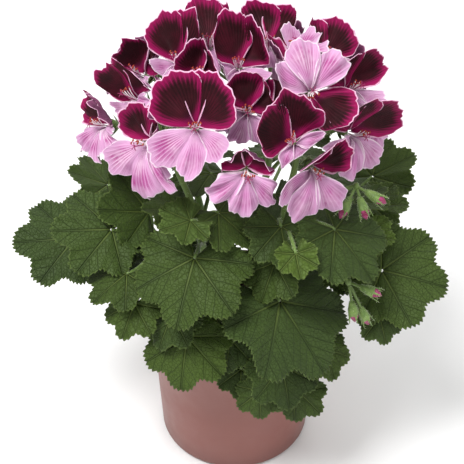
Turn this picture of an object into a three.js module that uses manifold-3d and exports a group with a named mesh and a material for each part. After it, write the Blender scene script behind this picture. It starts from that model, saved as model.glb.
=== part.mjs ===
// A regal pelargonium in a round plastic pot: seven leafy stems with scalloped, pleated leaves stand
// in the soil, three of them end in heads of ruffled two-coloured blooms.
// Millimetres, +Z up. The origin is the middle of the pot's underside, on the surface it stands on.
// Headings are degrees round the pot, 0 towards the front (-Y) and 90 towards the right (+X).

import * as THREE from "three";
import { mergeVertices } from "three/addons/utils/BufferGeometryUtils.js";
import Module from "manifold-3d";

const wasm = await Module();
wasm.setup();

// Pot and soil
const POT_HEIGHT = 105;
const POT_BASE_R = 51;
const POT_TOP_R = 56;
const POT_WALL = 1.4;
const POT_SIDES = 28;
const HEEL_R = 3;
const RIM_R = 59.5;
const RIM_HEIGHT = 9;
const FOOT_HEIGHT = 2;
const FOOT_WIDTH = 7;
const FOOT_NOTCHES = 4;
const NOTCH_WIDTH = 20;
const CENTRE_PAD_R = 12;
const DRAIN_HOLES = 6;
const DRAIN_R = 4;
const DRAIN_RING_R = 30;
const SOIL_TOP = 93;
const SOIL_GAP = 0.4;

const SOIL_LUMPS = 1.2;

// Leaves: angles in degrees from the tip, the shares are of a leaf's width
const LEAF_THICKNESS = 0.8;
const LEAF_HALF_ANGLE = 150;
const LEAF_BACK = 0.286;
const LEAF_GROWTH = 0.319;
const LEAF_FULLNESS = 1.1;
const LOBE_SPACING = 50;
const LOBE_DEPTH = 0.14;
const LOBE_DEPTH_SPREAD = 0.06;
const PLEAT_HEIGHT = 0.022;
const WAVE_HEIGHT = 0.03;
const WAVES = 3;
const LARGE_LEAF = 64;

// Stems and petioles
const STEM_R = 3.2;
const STEM_HOLE_R = 4;
const STEM_DEPTH = 15;
const PETIOLE_R = 1.3;
const PETIOLE_RISE = 20;
const LOWEST_PETIOLE = SOIL_TOP + 12;
const PETIOLE_BEND = 0.3;
const PETIOLE_SAG = 0.14;
const RIM_CLEARANCE = 17;

// Blooms
const PETAL_THICKNESS = 0.7;
const UPPER_PETALS = {
  middle: 0,
  petals: 2,
  step: 66,
  half: 56,
  length: 36,
  rise: 54,
  flare: 128,
  foot: 1.2,
  forward: 0,
};
const LOWER_PETALS = {
  middle: 180,
  petals: 3,
  step: 54,
  half: 33,
  length: 35,
  rise: 36,
  flare: 146,
  foot: -1.2,
  forward: 2.3,
};
const THROAT_DEPTH = 7;
const PETAL_SHOULDER = 0.42;
const PETAL_ROUNDNESS = 0.5;
const PETAL_SHORTEST = 0.92;
const PETAL_LENGTH_SPREAD = 0.14;
const PETAL_OPENING = 4;
const PETAL_RUFFLE = 4;
const PETAL_RUFFLES = 7;
const PETAL_ROLL = 9;
const CELL_CENTRE = 12;
const CELL_SLOPE = 1.6;
const CELL_GAP = 1.2;
const CELL_SOFTNESS = 5.5;
const CELL_RISE = 0.5;
const CALYX_LENGTH = 7;
const SEPALS = 5;
const SEPAL_REACH = 6;
const SEPAL_NOTCH_REACH = 2.3;
const CALYX_GAP = 0.7;
const PEDUNCLE_R = 2;
const PEDICEL_R = 1;
const HUB_R = 4;
const BUD_HUB_R = 2.8;
const BUD_STALK_R = 1.4;
const BUD_LENGTH = 16;
const BUD_R = 3.2;

const UP = new THREE.Vector3(0, 0, 1);
const rad = THREE.MathUtils.degToRad;

const COLOURS = {
  pot: 0x96655c,
  soil: 0x3a2a20,
  leaf: 0x4a6a2e,
  wine: 0x5c1230,
  pink: 0xe0b0d2,
};
const materials = {
  pot: new THREE.MeshStandardMaterial({ color: COLOURS.pot, roughness: 0.55, metalness: 0 }),
  soil: new THREE.MeshStandardMaterial({ color: COLOURS.soil, roughness: 0.95, metalness: 0 }),
  leaf: new THREE.MeshStandardMaterial({ color: COLOURS.leaf, roughness: 0.6, metalness: 0 }),
  wine: new THREE.MeshStandardMaterial({ color: COLOURS.wine, roughness: 0.6, metalness: 0 }),
  pink: new THREE.MeshStandardMaterial({ color: COLOURS.pink, roughness: 0.6, metalness: 0 }),
};

// Each stem: where it stands in the soil, and its top
const STEMS = {
  front: { foot: [2, -18], top: [6, -42, 158] },
  front_right: { foot: [16, -8], top: [30, -22, 200] },
  right: { foot: [25, 5], top: [58, 4, 160] },
  back_right: { foot: [10, 18], top: [22, 40, 198] },
  back_left: { foot: [-12, 20], top: [-26, 44, 172] },
  left: { foot: [-24, 3], top: [-54, 4, 168] },
  front_left: { foot: [-13, -10], top: [-24, -26, 202] },
};

// Each leaf: its stem, where its petiole meets the blade, the heading and pitch of its tip, the roll
// of the blade about its midrib, its width, and its cup (positive turns the margin up)
const LEAVES = [
  ["left", [-103, 6, 160], -84, 0, -22, 66, -0.02],
  ["left", [-76, -18, 187], -80, 8, -25, 62, -0.03],
  ["left", [-54, -2, 188], -120, 44, -10, 62, 0.03],
  ["left", [-84, 46, 172], -80, 30, -10, 48, 0],
  ["left", [-66, -42, 172], -52, -15, 0, 46, -0.05],
  ["left", [-61, -56, 160], -28, -38, 0, 38, -0.06],
  ["left", [-66, 28, 134], -104, -35, 0, 44, -0.06],
  ["left", [-46, -24, 166], -60, -5, 0, 44, -0.04],
  ["front_left", [-38, -60, 156], -34, -45, 0, 40, -0.06],
  ["front_left", [-26, -48, 219], -60, 0, -15, 34, 0.06],
  ["front_left", [-24, -55, 196], -20, -36, 0, 71, -0.06],
  ["front_left", [-10, -36, 215], 55, -20, 0, 46, -0.04],
  ["front", [-29, -66, 142], -14, -48, 0, 56, -0.08],
  ["front", [27, -58, 164], 48, -38, 0, 86, -0.05],
  ["front", [29, -68, 119], 20, -50, 0, 48, -0.06],
  ["front", [4, -63, 110], -6, -45, 0, 32, -0.06],
  ["front", [16, -74, 102], 0, -60, 0, 32, -0.08],
  ["front", [24, -50, 188], -30, -42, 0, 42, -0.03],
  ["front_right", [39, -70, 99], -12, -62, 0, 38, -0.08],
  ["front_right", [55, -58, 124], 35, -45, 0, 36, -0.06],
  ["front_right", [59, -43, 208], 48, -28, 0, 62, -0.05],
  ["front_right", [27, -45, 212], 12, -35, 0, 45, -0.05],
  ["front_right", [35, -67, 210], 12, -36, 0, 26, 0.08],
  ["right", [91, -30, 164], 78, -6, 30, 70, -0.04],
  ["right", [90, 42, 182], 105, 24, 15, 52, 0.03],
  ["right", [88, 14, 180], 84, 10, 20, 38, -0.02],
  ["right", [80, -20, 186], 70, 0, 20, 32, 0],
  ["right", [90, -48, 142], 20, -45, 0, 30, -0.06],
  ["back_left", [-30, 76, 176], -168, -15, 0, 60, -0.04],
  ["back_left", [-60, 60, 150], -138, -20, 0, 56, -0.04],
  ["back_left", [-40, 50, 204], -150, 18, 0, 44, 0.03],
  ["back_left", [-32, 72, 122], -160, -45, 0, 42, -0.06],
  ["back_right", [34, 78, 172], 166, -15, 0, 60, -0.04],
  ["back_right", [66, 66, 160], 134, -15, 0, 56, -0.04],
  ["back_right", [44, 60, 204], 150, 18, 0, 42, 0.03],
  ["back_right", [34, 72, 122], 160, -45, 0, 44, -0.06],
  ["back_right", [78, 42, 126], 108, -35, 0, 42, -0.06],
  ["back_right", [2, 84, 146], 178, -35, 0, 44, -0.05],
  ["front_left", [-34, -10, 196], -80, 10, 0, 40, 0],
  ["front_left", [-15, 14, 206], -20, 6, 0, 46, 0],
  ["front_left", [-21, 0, 158], -6, -5, 0, 38, 0],
  ["back_left", [-48, 26, 178], -24, 4, 0, 36, 0],
  ["back_left", [-8, 42, 186], -8, 2, 0, 46, 0],
  ["front_right", [16, -12, 184], 10, 0, 0, 34, 0],
  ["right", [56, 13, 186], 5, 4, 0, 46, 0],
  ["right", [66, -8, 156], 8, -18, 0, 44, -0.03],
  ["front", [-3, -56, 130], -12, -48, 0, 36, -0.05],
  ["front_right", [25, 9, 193], 16, 6, 0, 50, 0],
  ["right", [74, 0, 196], 60, 14, 0, 40, 0],
];

// The hub of each flower head, by the stem that carries it
const HEADS = {
  front_left: [-38, -2, 238],
  front_right: [37, -6, 238],
  back_right: [18, 44, 246],
};

// Each bloom: its head, its throat, the heading and elevation it faces, and the roll of its upper
// petals to the right as it is faced, its layer (a bloom spreads over those of a lower layer), and
// the sizes of its upper and of its lower petals as shares of a full one
const BLOOMS = [
  ["front_left", [-22, -32, 274], -4, 32, 0, 1, 1, 0.88],
  ["front_left", [-47, -27, 261], -44, 14, -10, 0.6, 0.76, 1],
  ["front_left", [-75, 3, 251], -54, 24, -30, 0.2, 0.8, 0.7],
  ["front_left", [-56, 8, 265], -61, 36, -52, 0.41, 0.94, 0.63],
  ["front_left", [-32, 26, 278], -30, 50, -10, 0.6, 0.95, 0.56],
  ["front_left", [-20, 2, 285], -10, 46, 0, 0.4, 0.76, 0.65],
  ["back_right", [2, 18, 281], -3, 49, 7, 0.62, 0.98, 0.78],
  ["front_right", [7, -23, 279], -2, 31, 17, 0.46, 0.78, 0.73],
  ["front_right", [33, -37, 267], -4, 40, -37, 0.94, 1.03, 0.63],
  ["front_right", [43, -43, 255], 16, 12, 26, 1, 0.7, 0.88],
  ["front_right", [43, -9, 282], 6, 41, 169, 0.82, 0.9, 0.88],
  ["front_right", [66, -6, 252], 45, 14, 31, 0.59, 1, 0.8],
  ["front_right", [65, 15, 267], 50, 37, 30, 0.36, 0.99, 0.66],
  ["back_right", [21, 48, 275], -8, 58, 0, 0.4, 0.95, 0.68],
  ["back_right", [34, 25, 280], 154, 68, 11, 0.67, 0.71, 0.7],
  ["back_right", [53, 46, 269], 30, 50, 20, 0.4, 0.8, 0.8],
  ["front_right", [6, -49, 258], 4, 11, 8, 0.55, 0.72, 0.76],
  ["front_left", [-50, 48, 262], -125, 35, 0, 0.5, 1, 0.95],
  ["back_right", [-18, 64, 266], -156, 39, -3, 0.2, 1, 0.9],
  ["back_right", [24, 72, 254], 168, 32, 0, 0.6, 1, 0.95],
  ["back_right", [61, 70, 252], 148, 28, 4, 0.43, 0.86, 0.82],
  ["front_left", [-54, 29, 269], -46, 38, -15, 0.18, 0.95, 0.57],
  ["front_right", [71, 16, 247], 75, 30, 30, 0.1, 0.9, 0.8],
  ["front_right", [20, -3, 264], 33, 51, 8, 0, 0.91, 0.6],
  ["back_right", [-15, 42, 279], -20, 60, 0, 0.3, 0.9, 0.7],
];

// Closed buds: the stem, the hub they hang from and the tip of each bud
const BUDS = [
  ["front_right", [72, -24, 226], [[62, -38, 212], [78, -40, 213], [90, -32, 219]]],
  ["front_right", [68, -56, 178], [[88, -62, 172], [73, -64, 152], [82, -60, 146]]],
];

// A seeded draw of numbers from 0 to 1
function draws(seed) {
  let state = seed >>> 0;
  return () => {
    state = (state * 1664525 + 1013904223) >>> 0;
    return state / 4294967296;
  };
}

// A closed geometry with its shared corners merged, as one index of bare points
function merged(geometry) {
  geometry.deleteAttribute("normal");
  geometry.deleteAttribute("uv");
  return mergeVertices(geometry, 1e-4);
}

// A merged geometry as a solid that can be joined and cut
function solid(geometry) {
  return new wasm.Manifold(
    new wasm.Mesh({
      numProp: 3,
      vertProperties: new Float32Array(geometry.attributes.position.array),
      triVerts: new Uint32Array(geometry.index.array),
    }),
  );
}

function join(solids) {
  return solids.reduce((all, next) => all.add(next));
}

// A solid as a named mesh; what a cut or a join left loose is dropped
function named(name, shape, material) {
  const bodies = shape.decompose().sort((a, b) => b.volume() - a.volume());
  const mesh = bodies[0].getMesh();
  const geometry = new THREE.BufferGeometry();
  const points = new Float32Array(mesh.numVert * 3);
  for (let i = 0; i < mesh.numVert; i++) {
    const from = i * mesh.numProp;
    points.set(mesh.vertProperties.subarray(from, from + 3), i * 3);
  }
  geometry.setAttribute("position", new THREE.BufferAttribute(points, 3));
  geometry.setIndex(new THREE.BufferAttribute(new Uint32Array(mesh.triVerts), 1));
  geometry.computeVertexNormals();
  const made = new THREE.Mesh(geometry, material);
  made.name = name;
  return made;
}

// A unit vector at a heading round the pot and an elevation above the horizon
function direction(heading, elevation) {
  const [a, e] = [rad(heading), rad(elevation)];
  return new THREE.Vector3(Math.sin(a) * Math.cos(e), -Math.cos(a) * Math.cos(e), Math.sin(e));
}

// A round stalk of one radius along a curve
function stalk(path, radius, sides, steps) {
  const section = new THREE.Shape();
  for (let i = 0; i < sides; i++) {
    const turn = (2 * Math.PI * i) / sides;
    const [x, y] = [radius * Math.cos(turn), radius * Math.sin(turn)];
    if (i === 0) section.moveTo(x, y);
    else section.lineTo(x, y);
  }
  return solid(merged(new THREE.ExtrudeGeometry(section, { extrudePath: path, steps, curveSegments: 1 })));
}

// A thin blade that fans out from its foot. Each ring of points lies at one share of the outline's
// reach and has a whole number of times the columns of the ring inside it. surface(angle, share, r)
// puts a point in place, and the blade then gets its thickness along the normals.
function fanBlade({ halfAngle, rings, reach, surface, thickness }) {
  const middle = [surface(0, 0, 0)];
  const rows = rings.map(([share, columns]) => {
    const row = [];
    for (let column = 0; column <= columns; column++) {
      const angle = -halfAngle + (2 * halfAngle * column) / columns;
      row.push(middle.length);
      middle.push(surface(angle, share, reach(angle) * share));
    }
    return row;
  });
  const faces = [];
  rows[0].slice(1).forEach((next, i) => faces.push([0, next, rows[0][i]]));
  for (let ring = 1; ring < rows.length; ring++) {
    const [inner, outer] = [rows[ring - 1], rows[ring]];
    const split = (outer.length - 1) / (inner.length - 1);
    const half = Math.ceil(split / 2);
    for (let i = 0; i < inner.length - 1; i++) {
      faces.push([inner[i], inner[i + 1], outer[split * i + half]]);
      for (let k = 0; k < split; k++) {
        const near = inner[k < half ? i : i + 1];
        faces.push([near, outer[split * i + k + 1], outer[split * i + k]]);
      }
    }
  }
  const normals = middle.map(() => new THREE.Vector3());
  for (const [a, b, c] of faces) {
    const ab = new THREE.Vector3().subVectors(middle[b], middle[a]);
    const ac = new THREE.Vector3().subVectors(middle[c], middle[a]);
    ab.cross(ac);
    for (const i of [a, b, c]) normals[i].add(ab);
  }
  const count = middle.length;
  const points = [1, -1].flatMap((side) =>
    middle.map((p, i) => p.clone().addScaledVector(normals[i].normalize(), (side * thickness) / 2)),
  );
  const left = rows.map((row) => row[0]);
  const right = rows.map((row) => row.at(-1)).reverse();
  const border = [0, ...left, ...rows.at(-1).slice(1, -1), ...right];
  const index = [];
  for (const [a, b, c] of faces) index.push(a, b, c, a + count, c + count, b + count);
  border.forEach((a, i) => {
    const b = border[(i + 1) % border.length];
    index.push(a, b, b + count, a, b + count, a + count);
  });
  const geometry = new THREE.BufferGeometry().setFromPoints(points);
  geometry.setIndex(index);
  return solid(geometry);
}

// Pot: a turned wall with a rolled rim, feet notched for drainage, a centre pad and drain holes
function makePot() {
  const slope = (POT_TOP_R - POT_BASE_R) / POT_HEIGHT;
  const wallAt = (z) => POT_BASE_R + slope * z;
  const rimFoot = POT_HEIGHT - RIM_HEIGHT;
  const floorTop = FOOT_HEIGHT + POT_WALL;
  const outline = [
    [0, 0],
    [CENTRE_PAD_R, 0],
    [CENTRE_PAD_R + 1, FOOT_HEIGHT],
    [POT_BASE_R - HEEL_R - FOOT_WIDTH, FOOT_HEIGHT],
    [POT_BASE_R - HEEL_R - FOOT_WIDTH + 1, 0],
    [POT_BASE_R - HEEL_R, 0],
    [POT_BASE_R - HEEL_R * 0.3, HEEL_R * 0.3],
    [wallAt(HEEL_R), HEEL_R],
    [wallAt(rimFoot), rimFoot],
    [RIM_R - 0.4, rimFoot + 1],
    [RIM_R, POT_HEIGHT - 1.5],
    [RIM_R - 1, POT_HEIGHT],
    [POT_TOP_R - 0.5, POT_HEIGHT],
    [wallAt(rimFoot) - POT_WALL, rimFoot - 1],
    [wallAt(floorTop) - POT_WALL - 2, floorTop + 1],
    [wallAt(floorTop) - POT_WALL - 5, floorTop],
    [0, floorTop],
  ];
  const profile = outline.map(([r, z]) => new THREE.Vector2(r, z));
  const turned = new THREE.LatheGeometry(profile, POT_SIDES);
  turned.rotateX(Math.PI / 2);
  let pot = solid(merged(turned));
  const notch = merged(new THREE.BoxGeometry(NOTCH_WIDTH, FOOT_WIDTH * 4, FOOT_HEIGHT * 2));
  notch.translate(0, -(POT_BASE_R - FOOT_WIDTH), 0);
  for (let i = 0; i < FOOT_NOTCHES; i++) {
    const turn = (2 * Math.PI * i) / FOOT_NOTCHES;
    pot = pot.subtract(solid(notch.clone().translate(0, 0, -0.6).rotateZ(turn)));
  }
  const drain = merged(new THREE.CylinderGeometry(DRAIN_R, DRAIN_R, POT_WALL * 6, 6));
  drain.rotateX(Math.PI / 2).translate(DRAIN_RING_R, 0, FOOT_HEIGHT);
  for (let i = 0; i < DRAIN_HOLES; i++) {
    const turn = (2 * Math.PI * (i + 0.5)) / DRAIN_HOLES;
    pot = pot.subtract(solid(drain.clone().rotateZ(turn)));
  }
  return named("pot", pot, materials.pot);
}

// Soil: fills the pot to below the rim, with a lumpy top and a plain hole round each stem
function makeSoil() {
  const slope = (POT_TOP_R - POT_BASE_R) / POT_HEIGHT;
  const inside = (z) => POT_BASE_R + slope * z - POT_WALL - SOIL_GAP;
  const floor = FOOT_HEIGHT + POT_WALL + SOIL_GAP;
  const profile = [
    [0, floor],
    [inside(floor) - 6, floor],
    [inside(floor) - 2.6, floor + 2],
    [inside(SOIL_TOP - 4) - 0.3, SOIL_TOP - 4],
    [inside(SOIL_TOP) - 3, SOIL_TOP],
    [34, SOIL_TOP + 1],
    [18, SOIL_TOP + 1],
    [0, SOIL_TOP + 2],
  ].map(([r, z]) => new THREE.Vector2(r, z));
  const bare = merged(new THREE.LatheGeometry(profile, 20).rotateX(Math.PI / 2));
  const position = bare.attributes.position;
  const draw = draws(7);
  for (let i = 0; i < position.count; i++)
    if (position.getZ(i) > SOIL_TOP - 1) position.setZ(i, position.getZ(i) + SOIL_LUMPS * (2 * draw() - 1));
  let soil = solid(bare);
  for (const { foot } of Object.values(STEMS)) {
    const hole = merged(new THREE.CylinderGeometry(STEM_HOLE_R, STEM_HOLE_R, 40, 10)).rotateX(Math.PI / 2);
    const bottom = SOIL_TOP - STEM_DEPTH - SOIL_GAP;
    soil = soil.subtract(solid(hole.translate(foot[0], foot[1], bottom + 20)));
  }
  return named("soil", soil, materials.soil);
}

// A blade's own axes: its foot, where its tip points, across it, and out of its upper face
function bladeFrame(foot, heading, pitch, roll) {
  const tip = direction(heading, pitch);
  const normal = UP.clone().addScaledVector(tip, -UP.dot(tip)).normalize();
  normal.applyAxisAngle(tip, rad(roll));
  const across = new THREE.Vector3().crossVectors(tip, normal);
  return { foot: new THREE.Vector3(...foot), tip, normal, across };
}

// One leaf: a scalloped fan with a valley along each vein
function makeLeaf([, place, heading, pitch, roll, width, cup], seed) {
  const { foot, tip, normal, across } = bladeFrame(place, heading, pitch, roll);
  const draw = draws(seed * 77 + 5);
  const phase = 360 * draw();
  const lobing = LOBE_DEPTH + LOBE_DEPTH_SPREAD * draw();
  const reach = (angle) => {
    const round = LEAF_BACK + LEAF_GROWTH * Math.pow(Math.cos(rad(angle / 2)), LEAF_FULLNESS);
    const notch = 0.5 - 0.5 * Math.cos(rad((360 * angle) / LOBE_SPACING));
    return width * round * (1 - lobing * notch * notch);
  };
  const surface = (angle, share, r) => {
    const vein = Math.cos(rad((360 * angle) / LOBE_SPACING));
    const wave = WAVE_HEIGHT * Math.sin(rad(WAVES * angle + phase));
    const height = width * ((cup + wave) * share * share - PLEAT_HEIGHT * vein * share);
    return foot
      .clone()
      .addScaledVector(across, r * Math.sin(rad(angle)))
      .addScaledVector(tip, r * Math.cos(rad(angle)))
      .addScaledVector(normal, height);
  };
  const columns = width >= LARGE_LEAF ? 24 : 12;
  const rings = [
    [0.55, 6],
    [1, columns],
  ];
  return fanBlade({ halfAngle: LEAF_HALF_ANGLE, rings, reach, surface, thickness: LEAF_THICKNESS });
}

// The petiole of a leaf, from its stem to the underside of the blade's foot
function makePetiole(stem, [, place, heading, pitch, roll]) {
  const { foot, tip, normal } = bladeFrame(place, heading, pitch, roll);
  const height = THREE.MathUtils.clamp(foot.z - PETIOLE_RISE, LOWEST_PETIOLE, stem.top[2] - STEM_R);
  const share = (height - SOIL_TOP + STEM_DEPTH) / (stem.top[2] - SOIL_TOP + STEM_DEPTH);
  const start = stem.path.getPointAt(share);
  const length = start.distanceTo(foot);
  const bend = PETIOLE_BEND * length;
  const outward = foot.clone().sub(start).setZ(0).normalize();
  const leave = start.clone().addScaledVector(outward, bend).addScaledVector(UP, bend);
  const arrive = foot.clone().addScaledVector(tip, -bend);
  arrive.addScaledVector(normal, -PETIOLE_SAG * length * Math.cos(rad(pitch)) ** 2);
  leave.z = Math.max(leave.z, POT_HEIGHT + RIM_CLEARANCE);
  arrive.z = Math.max(arrive.z, POT_HEIGHT + RIM_CLEARANCE);
  const curve = new THREE.CubicBezierCurve3(start, leave, arrive, foot);
  return stalk(curve, PETIOLE_R, 3, 3);
}

// A turned or round solid that stands along +Z, set at a point along an axis
function placed(geometry, point, axis) {
  const turn = new THREE.Quaternion().setFromUnitVectors(UP, axis);
  return solid(merged(geometry).applyQuaternion(turn).translate(point.x, point.y, point.z));
}

// Five pointed sepals and the tapered tube below them, their flat top at the origin
function calyxGeometry() {
  const geometry = new THREE.CylinderGeometry(1, 0, CALYX_LENGTH, 2 * SEPALS);
  geometry.rotateX(Math.PI / 2).translate(0, 0, -CALYX_LENGTH / 2);
  const position = geometry.attributes.position;
  for (let i = 0; i < position.count; i++) {
    const turn = Math.round((Math.atan2(position.getX(i), -position.getY(i)) * SEPALS) / Math.PI);
    const reach = turn % 2 ? SEPAL_NOTCH_REACH : SEPAL_REACH;
    position.setXY(i, position.getX(i) * reach, position.getY(i) * reach);
  }
  return geometry;
}

// The axes of a bloom: its throat, where it faces, up its upper petals, and to the right as faced
function bloomFrame([, place, heading, elevation, roll]) {
  const face = direction(heading, elevation);
  const up = UP.clone().addScaledVector(face, -UP.dot(face)).normalize();
  const right = new THREE.Vector3().crossVectors(up, face);
  up.applyAxisAngle(face, rad(-roll));
  right.applyAxisAngle(face, rad(-roll));
  return { throat: new THREE.Vector3(...place), face, up, right };
}

const frames = BLOOMS.map(bloomFrame);
const cellCentres = frames.map(({ throat, face }) => throat.clone().addScaledVector(face, CELL_CENTRE));

// Keeps a point of one bloom on its own side of a plane half way to each other bloom, so that
// crowded petals bend along each other: a pressed petal also rises along the plane. A plane slopes
// so that the bloom with the higher layer spreads over the other one.
function keepInCell(point, own) {
  for (let pass = 0; pass < 3; pass++)
    cellCentres.forEach((other, i) => {
      if (i === own) return;
      const outward = frames[own].face.clone().add(frames[i].face).normalize();
      const slope = CELL_SLOPE * (BLOOMS[own][5] - BLOOMS[i][5]);
      const away = other.clone().sub(cellCentres[own]).normalize().addScaledVector(outward, -slope);
      away.normalize();
      const middle = other.clone().add(cellCentres[own]).multiplyScalar(0.5);
      const depth = point.clone().sub(middle).dot(away);
      const start = -CELL_GAP / 2 - CELL_SOFTNESS;
      if (depth <= start) return;
      const kept = -CELL_GAP / 2 - CELL_SOFTNESS * Math.exp((start - depth) / CELL_SOFTNESS);
      const along = outward.addScaledVector(away, -outward.dot(away)).normalize();
      point.addScaledVector(away, kept - depth).addScaledVector(along, CELL_RISE * (depth - kept));
    });
  return point;
}

// One colour of a bloom: a ruffled funnel that opens further from the bloom's axis towards its
// margin. Its outline is the outline of its round petals, which overlap, and their sides turn back.
// Its foot sits on the calyx, and from the throat's depth outwards it stands free.
function makePetals(own, scale, { middle, petals, step, half, length, rise, flare, foot, forward }) {
  const { throat, face, up, right } = frames[own];
  const shared = draws(own * 31);
  const phase = 360 * shared();
  const open = PETAL_OPENING * (2 * shared() - 1);
  const draw = draws(own * 31 + petals);
  const petalLength = () => length * scale * (PETAL_SHORTEST + PETAL_LENGTH_SPREAD * draw());
  const sizes = Array.from({ length: petals }, petalLength);
  const halfAngle = (step * (petals - 1)) / 2 + half;
  const petalAt = (angle) => {
    const outlines = sizes.map((size, n) => {
      const across = Math.min(1, Math.abs(angle + halfAngle - half - n * step) / half);
      const round = Math.pow(1 - across * across, PETAL_ROUNDNESS);
      return { across, reach: size * (PETAL_SHOULDER + (1 - PETAL_SHOULDER) * round) };
    });
    return outlines.reduce((widest, next) => (next.reach > widest.reach ? next : widest));
  };
  const reach = (angle) => petalAt(angle).reach;
  const surface = (angle, share, r) => {
    const { across } = petalAt(angle);
    const out = r / length;
    const ruffle = PETAL_RUFFLE * out * out * Math.sin(rad(PETAL_RUFFLES * (middle + angle) + phase));
    const back = PETAL_ROLL * across * across * out;
    const polar = rad(rise + (flare - rise + open) * 0.5 * out + ruffle + back);
    const around = rad(middle + angle);
    const free = Math.min(1, r / THROAT_DEPTH);
    const point = throat.clone().addScaledVector(up, foot * (1 - free));
    point.addScaledVector(face, forward * free + r * Math.cos(polar));
    point.addScaledVector(up, r * Math.sin(polar) * Math.cos(around));
    point.addScaledVector(right, r * Math.sin(polar) * Math.sin(around));
    return point.lerp(keepInCell(point.clone(), own), free);
  };
  const rings = [
    [0.3, 6],
    [0.68, 6],
    [1, 12],
  ];
  return fanBlade({ halfAngle, rings, reach, surface, thickness: PETAL_THICKNESS });
}

// The green of a flower head: peduncle, hub, and a pedicel with its calyx for each bloom
function makeHead(stem, hub, blooms) {
  const top = stem.path.getPointAt(0.97);
  const rise = 0.4 * top.distanceTo(hub);
  const lift = top.clone().addScaledVector(UP, rise);
  const below = hub.clone().addScaledVector(UP, -rise);
  const peduncle = stalk(new THREE.CubicBezierCurve3(top, lift, below, hub), PEDUNCLE_R, 5, 5);
  const pieces = [peduncle, placed(new THREE.OctahedronGeometry(HUB_R), hub, UP)];
  for (const { throat, face } of blooms) {
    const seat = throat.clone().addScaledVector(face, -CALYX_GAP);
    const end = seat.clone().addScaledVector(face, -0.55 * CALYX_LENGTH);
    const half = 0.45 * end.distanceTo(hub);
    const leave = hub.clone().addScaledVector(end.clone().sub(hub).setZ(half / 2).normalize(), half);
    const arrive = end.clone().addScaledVector(face, -half);
    const start = hub.clone().lerp(leave, (0.6 * HUB_R) / half);
    pieces.push(stalk(new THREE.CubicBezierCurve3(start, leave, arrive, end), PEDICEL_R, 3, 3));
    pieces.push(placed(calyxGeometry(), seat, face));
  }
  return pieces;
}

// A nodding cluster of closed buds
function makeBuds(stem, hub, tips) {
  const start = stem.path.getPointAt(0.9);
  const high = start.clone().lerp(hub, 0.5).addScaledVector(UP, 10);
  const pieces = [stalk(new THREE.QuadraticBezierCurve3(start, high, hub), BUD_STALK_R, 5, 5)];
  pieces.push(placed(new THREE.OctahedronGeometry(BUD_HUB_R), hub, UP));
  for (const place of tips) {
    const tip = new THREE.Vector3(...place);
    const axis = tip.clone().sub(hub).normalize();
    const profile = [
      [0, -BUD_LENGTH],
      [BUD_R * 0.6, -0.8 * BUD_LENGTH],
      [BUD_R, -BUD_LENGTH / 2],
      [0, 0],
    ];
    const points = profile.map(([r, z]) => new THREE.Vector2(r, z));
    const bud = new THREE.LatheGeometry(points, 6).rotateX(Math.PI / 2);
    pieces.push(placed(bud, tip, axis));
    const end = tip.clone().addScaledVector(axis, -0.75 * BUD_LENGTH);
    pieces.push(stalk(new THREE.LineCurve3(hub, end), PEDICEL_R, 4, 1));
  }
  return pieces;
}

// One leafy stem with all that grows on it
function makeStem(name) {
  const { foot, top } = STEMS[name];
  const points = [
    [...foot, SOIL_TOP - STEM_DEPTH],
    [...foot, SOIL_TOP + 3],
    [foot[0] + 0.2 * (top[0] - foot[0]), foot[1] + 0.2 * (top[1] - foot[1]), 0.6 * SOIL_TOP + 0.4 * top[2]],
    top,
  ].map((p) => new THREE.Vector3(...p));
  const stem = { top, path: new THREE.CatmullRomCurve3(points) };
  const pieces = [stalk(stem.path, STEM_R, 6, 5)];
  LEAVES.forEach((leaf, i) => {
    if (leaf[0] === name) pieces.push(makeLeaf(leaf, i), makePetiole(stem, leaf));
  });
  if (HEADS[name]) {
    const blooms = frames.filter((frame, i) => BLOOMS[i][0] === name);
    pieces.push(...makeHead(stem, new THREE.Vector3(...HEADS[name]), blooms));
  }
  for (const [owner, hub, tips] of BUDS)
    if (owner === name) pieces.push(...makeBuds(stem, new THREE.Vector3(...hub), tips));
  return pieces;
}

const plant = new THREE.Group();
plant.add(makePot(), makeSoil());
for (const name of Object.keys(STEMS))
  plant.add(named(`stem_${name}`, join(makeStem(name)), materials.leaf));
BLOOMS.forEach(([, , , , , , upperScale, lowerScale], i) => {
  const number = String(i + 1).padStart(2, "0");
  plant.add(named(`bloom_${number}_upper`, makePetals(i, upperScale, UPPER_PETALS), materials.wine));
  plant.add(named(`bloom_${number}_lower`, makePetals(i, lowerScale, LOWER_PETALS), materials.pink));
});
export default plant;
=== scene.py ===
"""Looks of a regal pelargonium in a round plastic pot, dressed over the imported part.

Places and sizes are in millimetres, as in the plant's own tables, and turn to metres where a piece
is made. Headings are degrees round the pot, 0 to the front (-Y) and 90 to the right (+X).
"""

import bpy
import numpy as np
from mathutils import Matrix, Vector


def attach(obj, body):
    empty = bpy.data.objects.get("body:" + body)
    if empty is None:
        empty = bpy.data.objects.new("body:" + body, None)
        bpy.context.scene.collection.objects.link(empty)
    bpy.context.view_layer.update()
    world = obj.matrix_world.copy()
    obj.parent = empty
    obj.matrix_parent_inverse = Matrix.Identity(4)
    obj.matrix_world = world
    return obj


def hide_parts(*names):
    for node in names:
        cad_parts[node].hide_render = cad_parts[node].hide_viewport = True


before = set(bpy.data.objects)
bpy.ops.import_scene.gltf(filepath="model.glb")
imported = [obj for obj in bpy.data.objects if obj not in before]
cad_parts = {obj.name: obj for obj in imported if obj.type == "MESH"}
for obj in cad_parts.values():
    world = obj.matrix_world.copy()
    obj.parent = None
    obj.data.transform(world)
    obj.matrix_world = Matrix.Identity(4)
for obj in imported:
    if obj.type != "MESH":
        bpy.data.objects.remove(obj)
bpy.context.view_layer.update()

MM = 0.001
UP = np.array([0.0, 0.0, 1.0])

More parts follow.
